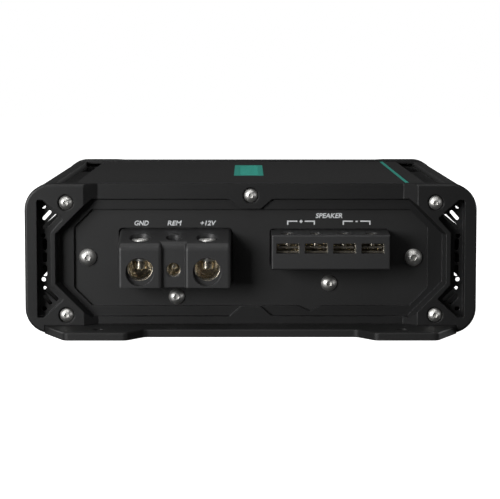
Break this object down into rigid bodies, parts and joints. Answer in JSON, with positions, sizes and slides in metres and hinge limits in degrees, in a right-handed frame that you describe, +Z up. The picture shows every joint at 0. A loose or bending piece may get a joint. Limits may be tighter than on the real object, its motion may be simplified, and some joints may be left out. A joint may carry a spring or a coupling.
{
  "type": "car amplifier",
  "caption": "Low flat car audio amplifier: ribbed aluminium body between black end caps, screw terminals for power and speakers in front, controls behind, feet for bolting down.",
  "frame": {"origin": "under the middle of the amplifier, on the plane its feet rest on", "axes": "+X across the width to the right seen from the terminals, +Y from the terminal end to the control end, +Z up"},
  "size_m": [0.2, 0.266, 0.0664],
  "materials": {
    "cap_plastic": "fine satin texture, black",
    "body_coat": "fine textured black coat on aluminium",
    "panel_coat": "satin black coat on steel",
    "terminal_plastic": "satin moulded plastic, dark grey",
    "knob_plastic": "satin moulded plastic, black",
    "teal_trim": "smooth teal",
    "zinc_steel": "bright zinc plate",
    "nickel_plate": "nickel plate",
    "circuit_board": "green solder mask",
    "copper_winding": "enamelled copper wire",
    "capacitor_sleeve": "shrink sleeve",
    "device_epoxy": "moulded epoxy with tinned tab and legs",
    "pad_rubber": "grey silicone sheet",
    "legend_ink": "white screen print",
    "clear_lens": "clear acrylic"
  },
  "bodies": {
    "chassis": {"badge_plate": "teal_trim", "base_plate": "body_coat", "base_screws": "zinc_steel", "board_connector": "terminal_plastic", "board_pillars": "nickel_plate", "bulk_capacitors": "capacitor_sleeve", "clamp_bars": "zinc_steel", "clamp_screws": "zinc_steel", "control_board": "circuit_board", "control_pots": "terminal_plastic", "front_cap": "cap_plastic", "front_cap_screws": "zinc_steel", "front_panel": "panel_coat", "ground_barrel": "nickel_plate", "heatsink_body": "body_coat", "indicator_lenses": "clear_lens", "main_board": "circuit_board", "output_inductor": "copper_winding", "panel_screws": "zinc_steel", "pillar_screws": "zinc_steel", "power_block_housing": "terminal_plastic", "power_transformer": "copper_winding", "power_transistors": "device_epoxy", "rca_jack_bodies": "terminal_plastic", "rca_jack_shells": "nickel_plate", "rear_cap": "cap_plastic", "rear_cap_screws": "zinc_steel", "rear_panel": "panel_coat", "remote_barrel": "nickel_plate", "remote_level_jack": "terminal_plastic", "ring_stands": "terminal_plastic", "speaker_block_housing": "terminal_plastic", "speaker_cages": "nickel_plate", "stripe_inlay": "teal_trim", "supply_barrel": "nickel_plate", "switch_bodies": "terminal_plastic", "terminal_screws": "zinc_steel", "thermal_pads": "pad_rubber"},
    "ground_tip": {"ground_pressure_tip": "nickel_plate"},
    "ground_screw": {"ground_set_screw": "zinc_steel"},
    "remote_tip": {"remote_pressure_tip": "nickel_plate"},
    "remote_screw": {"remote_set_screw": "zinc_steel"},
    "supply_tip": {"supply_pressure_tip": "nickel_plate"},
    "supply_screw": {"supply_set_screw": "zinc_steel"},
    "speaker_plate_1": {"speaker_clamp_plate_1": "nickel_plate"},
    "speaker_screw_1": {"speaker_clamp_screw_1": "nickel_plate"},
    "speaker_plate_2": {"speaker_clamp_plate_2": "nickel_plate"},
    "speaker_screw_2": {"speaker_clamp_screw_2": "nickel_plate"},
    "speaker_plate_3": {"speaker_clamp_plate_3": "nickel_plate"},
    "speaker_screw_3": {"speaker_clamp_screw_3": "nickel_plate"},
    "speaker_plate_4": {"speaker_clamp_plate_4": "nickel_plate"},
    "speaker_screw_4": {"speaker_clamp_screw_4": "nickel_plate"},
    "gain_control": {"gain_knob": "knob_plastic"},
    "lowpass_control": {"lowpass_knob": "knob_plastic"},
    "subsonic_control": {"subsonic_knob": "knob_plastic"},
    "bass_boost_control": {"bass_boost_knob": "knob_plastic"},
    "phase_switch": {"phase_switch_lever": "knob_plastic"},
    "input_level_switch": {"input_level_switch_lever": "knob_plastic"}
  },
  "joints": [
    {"name": "ground_tip_slide", "type": "slide", "parent": "chassis", "child": "ground_tip", "axis": [0, 0, -1], "range_m": [-0.0025, 0.0025]},
    {"name": "ground_screw_turn", "type": "hinge", "parent": "ground_tip", "child": "ground_screw", "pos_m": [-0.0486, -0.1125, 0.035], "axis": [0, 0, -1], "range_deg": [-720, 720]},
    {"name": "remote_tip_slide", "type": "slide", "parent": "chassis", "child": "remote_tip", "axis": [0, 0, -1], "range_m": [-0.0016, 0.0016]},
    {"name": "remote_screw_turn", "type": "hinge", "parent": "remote_tip", "child": "remote_screw", "pos_m": [-0.0339, -0.1125, 0.035], "axis": [0, 0, -1], "range_deg": [-720, 720]},
    {"name": "supply_tip_slide", "type": "slide", "parent": "chassis", "child": "supply_tip", "axis": [0, 0, -1], "range_m": [-0.0025, 0.0025]},
    {"name": "supply_screw_turn", "type": "hinge", "parent": "supply_tip", "child": "supply_screw", "pos_m": [-0.0191, -0.1125, 0.035], "axis": [0, 0, -1], "range_deg": [-720, 720]},
    {"name": "speaker_plate_1_slide", "type": "slide", "parent": "chassis", "child": "speaker_plate_1", "axis": [0, 0, -1], "range_m": [-0.0006, 0.0009]},
    {"name": "speaker_screw_1_turn", "type": "hinge", "parent": "speaker_plate_1", "child": "speaker_screw_1", "pos_m": [0.01625, -0.1136, 0.042], "axis": [0, 0, -1], "range_deg": [-360, 540]},
    {"name": "speaker_plate_2_slide", "type": "slide", "parent": "chassis", "child": "speaker_plate_2", "axis": [0, 0, -1], "range_m": [-0.0006, 0.0009]},
    {"name": "speaker_screw_2_turn", "type": "hinge", "parent": "speaker_plate_2", "child": "speaker_screw_2", "pos_m": [0.02865, -0.1136, 0.042], "axis": [0, 0, -1], "range_deg": [-360, 540]},
    {"name": "speaker_plate_3_slide", "type": "slide", "parent": "chassis", "child": "speaker_plate_3", "axis": [0, 0, -1], "range_m": [-0.0006, 0.0009]},
    {"name": "speaker_screw_3_turn", "type": "hinge", "parent": "speaker_plate_3", "child": "speaker_screw_3", "pos_m": [0.04105, -0.1136, 0.042], "axis": [0, 0, -1], "range_deg": [-360, 540]},
    {"name": "speaker_plate_4_slide", "type": "slide", "parent": "chassis", "child": "speaker_plate_4", "axis": [0, 0, -1], "range_m": [-0.0006, 0.0009]},
    {"name": "speaker_screw_4_turn", "type": "hinge", "parent": "speaker_plate_4", "child": "speaker_screw_4", "pos_m": [0.05345, -0.1136, 0.042], "axis": [0, 0, -1], "range_deg": [-360, 540]},
    {"name": "gain_knob_turn", "type": "hinge", "parent": "chassis", "child": "gain_control", "pos_m": [0.026, 0.1, 0.0332], "axis": [0, 1, 0], "range_deg": [-135, 135]},
    {"name": "lowpass_knob_turn", "type": "hinge", "parent": "chassis", "child": "lowpass_control", "pos_m": [0.011, 0.1, 0.0332], "axis": [0, 1, 0], "range_deg": [-135, 135]},
    {"name": "subsonic_knob_turn", "type": "hinge", "parent": "chassis", "child": "subsonic_control", "pos_m": [-0.004, 0.1, 0.0332], "axis": [0, 1, 0], "range_deg": [-135, 135]},
    {"name": "bass_boost_knob_turn", "type": "hinge", "parent": "chassis", "child": "bass_boost_control", "pos_m": [-0.019, 0.1, 0.0332], "axis": [0, 1, 0], "range_deg": [-135, 135]},
    {"name": "phase_switch_slide", "type": "slide", "parent": "chassis", "child": "phase_switch", "axis": [1, 0, 0], "range_m": [-0.0018, 0.0018]},
    {"name": "input_level_switch_slide", "type": "slide", "parent": "chassis", "child": "input_level_switch", "axis": [1, 0, 0], "range_m": [-0.0018, 0.0018]}
  ],
  "couplings": [
    {"joint": "ground_screw_turn", "follows": "ground_tip_slide", "rad_per_m": 5026.5},
    {"joint": "remote_screw_turn", "follows": "remote_tip_slide", "rad_per_m": 7853.9},
    {"joint": "supply_screw_turn", "follows": "supply_tip_slide", "rad_per_m": 5026.5},
    {"joint": "speaker_screw_1_turn", "follows": "speaker_plate_1_slide", "rad_per_m": 10472},
    {"joint": "speaker_screw_2_turn", "follows": "speaker_plate_2_slide", "rad_per_m": 10472},
    {"joint": "speaker_screw_3_turn", "follows": "speaker_plate_3_slide", "rad_per_m": 10472},
    {"joint": "speaker_screw_4_turn", "follows": "speaker_plate_4_slide", "rad_per_m": 10472}
  ]
}
